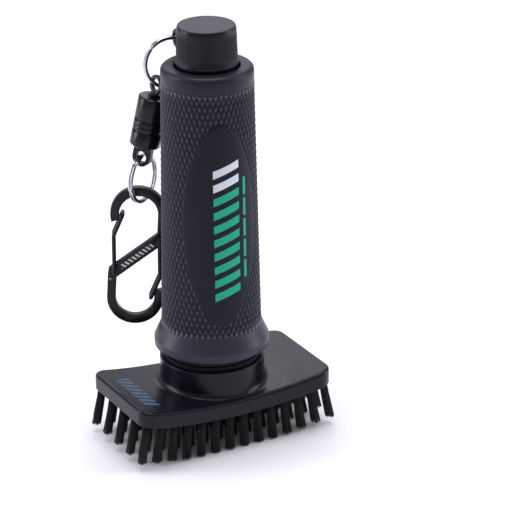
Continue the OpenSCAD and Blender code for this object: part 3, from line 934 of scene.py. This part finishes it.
def make_cap(settings, material):
    """A turned cap whose side carries ribs: the radius dips by a rounded wave between two profile rows."""
    rib = settings.rib / MM
    top, lip, outer = CAP_HIGH[2], CAP_LIP, CAP_HIGH[0]
    skirt_low, roof, stem_low, socket_top = 141.0, 161.0, 154.0, 158.0
    shell = rounded([(0.4, top), (10.7, top), (11.06, top - 1.3), (11.4, lip + 1.5)], 0.55, 6)
    side = np.stack([np.linspace(11.09, 11.42, 14), np.linspace(top - 1.9, lip + 1.5, 14)], axis=-1)
    shell = np.vstack([shell[:-1], side])
    skirt = rounded([
        side[-1], (11.45, lip + 0.95), (outer, lip + 0.85), (outer, lip), (11.2, lip), (11.2, skirt_low),
        (9.6, skirt_low), (9.6, roof), (4.0, roof), (4.0, stem_low), (1.52, stem_low), (1.52, socket_top),
        (0.3, socket_top)
    ], 0.2, 4)[1:]
    profile = np.vstack([shell, skirt])
    low, high = len(shell) - len(side), len(shell) - 1

    def ribs(angle, row):
        depth = np.clip((row - low) / 1.5, 0, 1) * np.clip((high - row) / 1.5, 0, 1)
        return -rib * depth * (0.5 - 0.5 * np.cos(settings.ribs * angle)) ** 0.7

    grid = revolved(profile, settings.ribs * 6, ribs)
    points, faces = capped_grid(grid, (0, 0, top), (0, 0, socket_top))
    return mesh_piece("ribbed_cap", points, faces, material, "button", ("push_button",))


def make_spring(material):
    """A helix of round wire: its angle and height rise together."""
    low, high = span("return_spring")
    wire = SPRING_WIRE_R
    coil = high[0] - wire
    angle = np.linspace(0, 2 * np.pi * SPRING_TURNS, 24 * SPRING_TURNS + 1)
    height = np.linspace(low[2] + wire, high[2] - wire, len(angle))
    path = np.stack([coil * np.cos(angle), coil * np.sin(angle), height], axis=-1)
    section = superellipse(wire, wire, 12)
    replaced = ("return_spring",)
    piece = open_sweep("spring_wire", path, section, (0, 0, 1), material, "button", replaced)
    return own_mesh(piece)


# ---------------------------------------------------------------- the tether

def make_split_ring(name, node, body, radius, centre, yaw, start, material):
    """Two turns of flat wire: the angle runs through 720 degrees, with a step across half way."""
    turn = np.linspace(0, 4 * np.pi, 260) + start
    step = np.clip((turn - start - 2 * np.pi) / 0.5 + 0.5, 0, 1)
    offset = -0.52 + 1.04 * step * step * (3 - 2 * step)
    path = np.stack([radius * np.cos(turn), offset, radius * np.sin(turn)], axis=-1)
    home = tether_frame(centre, 0.0, yaw)
    section = superellipse(0.7, 0.42, 14, 2.6)
    return open_sweep(name, placed(path, home), section, home[:3, 1], material, body, (node,))


def make_gate(name, node, body, turned, material):
    """One bent wire: up a leg, across the top and down the other leg, with a pin at each foot."""
    side, pin = 2.35, 0.4
    foot, bend, hook = (-8.3, -7.9), (-9.15, 8.3), (-6.0, 17.0)
    corners = [(foot, pin), (foot, side), (bend, side), (hook, side)]
    corners += [(hook, -side), (bend, -side), (foot, -side), (foot, -pin)]
    path = rounded([(x, y, z) for (x, z), y in corners], 1.0, 8)
    steps = np.concatenate([[0], np.cumsum(np.linalg.norm(np.diff(path, axis=0), axis=1))])
    even = np.linspace(0, steps[-1], 220)
    path = np.stack([np.interp(even, steps, path[:, k]) for k in range(3)], axis=-1)
    if turned:
        path = path * np.array([-1, 1, -1])
    home = tether_frame(CLIP_AT, CLIP_TILT)
    up = home[:3, :3] @ np.array([1, 0, -0.4])
    section = superellipse(0.76, 0.76, 14)
    return open_sweep(name, placed(path, home), section, up, material, body, (node,))


# ---------------------------------------------------------------- the stage

def camera_basis(settings):
    """The camera's place and its right, up and back vectors.

    The view is rolled, then swung so that the object stands left of and above the middle.
    """
    a, e, r = settings.azimuth, settings.height, settings.roll
    back = Vector((math.sin(a) * math.cos(e), -math.cos(a) * math.cos(e), math.sin(e)))
    right = Vector((math.cos(a), math.sin(a), 0))
    up = back.cross(right)
    target = Vector((0, 0, 0.0963))
    place = target + back * settings.distance
    rolled = right * math.cos(r) + up * math.sin(r)
    upright = up * math.cos(r) - right * math.sin(r)
    aim = target + rolled * 0.0175 - upright * 0.0226
    back = (place - aim).normalized()
    rolled = (rolled - back * rolled.dot(back)).normalized()
    return place, rolled, back.cross(rolled), back


def add_light(name, place, aim, size, power, colour=(0.88, 0.9, 1.0)):
    lamp = bpy.data.lights.new(name, "AREA")
    lamp.shape = "RECTANGLE"
    lamp.size, lamp.size_y = size
    lamp.energy = power
    lamp.color = colour
    light = bpy.data.objects.new(name, lamp)
    bpy.context.scene.collection.objects.link(light)
    light.location = place
    light.rotation_euler = (Vector(aim) - Vector(place)).to_track_quat("-Z", "Y").to_euler()


def make_stage(settings):
    place, right, up, back = camera_basis(settings)
    lens = bpy.data.cameras.new("Camera")
    lens.lens = settings.lens
    lens.sensor_width = 36
    lens.clip_end = 30
    camera = bpy.data.objects.new("Camera", lens)
    bpy.context.scene.collection.objects.link(camera)
    turn = Matrix((right, up, back)).transposed().to_4x4()
    camera.matrix_world = Matrix.Translation(place) @ turn
    bpy.context.scene.camera = camera

    s = Shader("pale_floor")
    s.set(Base_Color=s.mixed(s.noise(0.02), (0.95, 0.94, 0.92), (0.97, 0.96, 0.94)), Roughness=0.5)
    mesh = bpy.data.meshes.new("floor")
    half = 3.0
    corners = [(-half, -half, 0), (half, -half, 0), (half, half, 0), (-half, half, 0)]
    mesh.from_pydata(corners, [], [(0, 1, 2, 3)])
    mesh.materials.append(s.material)
    floor = bpy.data.objects.new("floor", mesh)
    bpy.context.scene.collection.objects.link(floor)

    world = bpy.data.worlds.new("studio")
    bpy.context.scene.world = world
    world.use_nodes = True
    world.node_tree.nodes["Background"].inputs["Color"].default_value = (0.93, 0.94, 1.0, 1)
    world.node_tree.nodes["Background"].inputs["Strength"].default_value = 0.45
    middle = (0, 0, 0.08)
    flat = Vector((back.x, back.y, 0)).normalized()
    side = Vector((right.x, right.y, 0)).normalized()
    up_by = Vector((0, 0, 1))
    add_light("left_box", -flat * 0.05 - side * 0.8 + up_by * 0.4, middle, (0.35, 0.8), 4.6)
    add_light("right_box", -flat * 0.1 + side * 0.8 + up_by * 0.4, middle, (0.35, 0.8), 3.4)
    add_light("top_box", -flat * 0.05 + up_by * 1.0, middle, (0.6, 0.5), 5.8)
    add_light("back_box", -flat * 0.9 + up_by * 0.6, middle, (0.9, 0.4), 2.0)
    bpy.context.scene.view_settings.view_transform = "Standard"


# ---------------------------------------------------------------- materials of the nodes that stay

def shared(name, maker, *details):
    """A material made once, and found again by its name, which differs from those of the CAD materials."""
    own_name = "brush_" + name
    return bpy.data.materials.get(own_name) or maker(own_name, *details)


def repaint(node, material):
    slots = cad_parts[node].data.materials
    slots.clear()
    slots.append(material)


# ---------------------------------------------------------------- operators

class MakeHead(bpy.types.Operator):
    """Head moulding, bristle block and bristle tufts"""
    bl_idname = "groove_brush.head"
    bl_label = "Head and bristles"

    def execute(self, context):
        head = context.scene.brush_head
        make_head(head, shared("gloss_black", glossy_plastic, head.gloss, True))
        filament = shared("bristle_nylon", nylon, (0.0035, 0.0035, 0.0045))
        for row in range(1, len(TUFTS_IN_ROW) + 1):
            make_tufts(head, row, filament)
        repaint("bristle_block", shared("block_plastic", satin_plastic, (0.006, 0.006, 0.007), 0.5))
        return {"FINISHED"}


class MakeGrip(bpy.types.Operator):
    """Rubber sleeve, oval panel, bottle, top collar and the valve inside"""
    bl_idname = "groove_brush.grip"
    bl_label = "Grip"

    def execute(self, context):
        grip = context.scene.brush_grip
        make_grip(grip, shared("grip_rubber", knurled_rubber, grip.rubber, grip.relief / MM))
        make_panel(grip, shared("panel_print", printed_panel, grip.rubber, grip.green[:3], grip.white[:3]))
        make_top_collar(shared("collar_plastic", satin_plastic, (0.012, 0.0123, 0.019), 0.42))
        repaint("bottle_shell", shared("bottle_plastic", satin_plastic, (0.003, 0.003, 0.004), 0.5))
        seal = shared("seal_rubber", moulded_seal, (0.004, 0.004, 0.005))
        for node in ("neck_washer", "plug_seal", "rod_seal", "valve_stopper"):
            repaint(node, seal)
        for node in ("valve_plug", "guide_bush"):
            repaint(node, shared("white_plastic", satin_plastic, (0.7, 0.7, 0.68), 0.4))
        return {"FINISHED"}


class MakeButton(bpy.types.Operator):
    """Push button, plunger rod and return spring"""
    bl_idname = "groove_brush.button"
    bl_label = "Button"

    def execute(self, context):
        plastic = shared("cap_plastic", satin_plastic, (0.005, 0.0052, 0.009), 0.36)
        make_cap(context.scene.brush_button, plastic)
        repaint("plunger_rod", shared("turned_steel", turned_steel, (0.5, 0.5, 0.52)))
        make_spring(shared("spring_steel", chromed, (0.6, 0.6, 0.62), 0.2))
        return {"FINISHED"}


class MakeTether(bpy.types.Operator):
    """Split rings, swivel, magnetic coupler and carabiner"""
    bl_idname = "groove_brush.tether"
    bl_label = "Tether"

    def execute(self, context):
        tether = context.scene.brush_tether
        chrome = shared("ring_chrome", chromed, tether.chrome[:3])
        black = shared("black_anodised", anodised, tether.anodised[:3])
        gloss = shared("coupler_gloss", anodised, tether.anodised[:3], 0.16)
        make_split_ring(
            "upper_ring_wire", "upper_split_ring", "upper_ring", 9.55, UPPER_RING_AT, LUG_YAW, 2.4, chrome
        )
        make_split_ring(
            "lower_ring_wire", "lower_split_ring", "lower_ring", 9.0, LOWER_RING_AT, 60, 3.4, chrome
        )
        from_cad("swivel_link", "swivel_eye", gloss, "swivel", 0.3 * MM)
        from_cad("coupler_top_shell", "coupler_upper_shell", gloss, "coupler_top", 0.12 * MM)
        from_cad("coupler_foot_shell", "coupler_lower_shell", gloss, "coupler_foot", 0.12 * MM)
        for node in ("upper_magnet", "lower_magnet"):
            repaint(node, shared("magnet_plating", chromed, (0.6, 0.6, 0.61), 0.2))
        marked = shared("marked_anodised", anodised, tether.anodised[:3], 0.24, (0.7, 0.7, 0.72))
        from_cad("carabiner_bar", "carabiner_frame", marked, "carabiner", tether.chamfer)
        make_gate("upper_gate_wire", "upper_gate", "gate_top", False, black)
        make_gate("lower_gate_wire", "lower_gate", "gate_foot", True, black)
        return {"FINISHED"}


class MakeStage(bpy.types.Operator):
    """Floor, lights and camera"""
    bl_idname = "groove_brush.stage"
    bl_label = "Stage"

    def execute(self, context):
        make_stage(context.scene.brush_stage)
        return {"FINISHED"}


OPERATORS = (MakeHead, MakeGrip, MakeButton, MakeTether, MakeStage)


class BrushPanel(bpy.types.Panel):
    """Lists the brush's operators and settings"""
    bl_idname = "VIEW3D_PT_groove_brush"
    bl_label = "Groove Brush"
    bl_space_type = "VIEW_3D"
    bl_region_type = "UI"
    bl_category = "Groove Brush"

    def draw(self, context):
        for operator in OPERATORS:
            self.layout.operator(operator.bl_idname)
        for name in SETTINGS:
            group = getattr(context.scene, name)
            box = self.layout.box()
            for key in group.__annotations__:
                box.prop(group, key)


def register():
    for group in SETTINGS.values():
        bpy.utils.register_class(group)
    for name, group in SETTINGS.items():
        setattr(bpy.types.Scene, name, PointerProperty(type=group))
    for item in (*OPERATORS, BrushPanel):
        bpy.utils.register_class(item)


def unregister():
    for item in reversed((*OPERATORS, BrushPanel)):
        bpy.utils.unregister_class(item)
    for name in SETTINGS:
        delattr(bpy.types.Scene, name)
    for group in reversed(SETTINGS.values()):
        bpy.utils.unregister_class(group)


def main():
    register()
    for operator in OPERATORS:
        group, name = operator.bl_idname.split(".")
        getattr(getattr(bpy.ops, group), name)()
    bpy.context.view_layer.update()


if __name__ == "__main__":
    main()
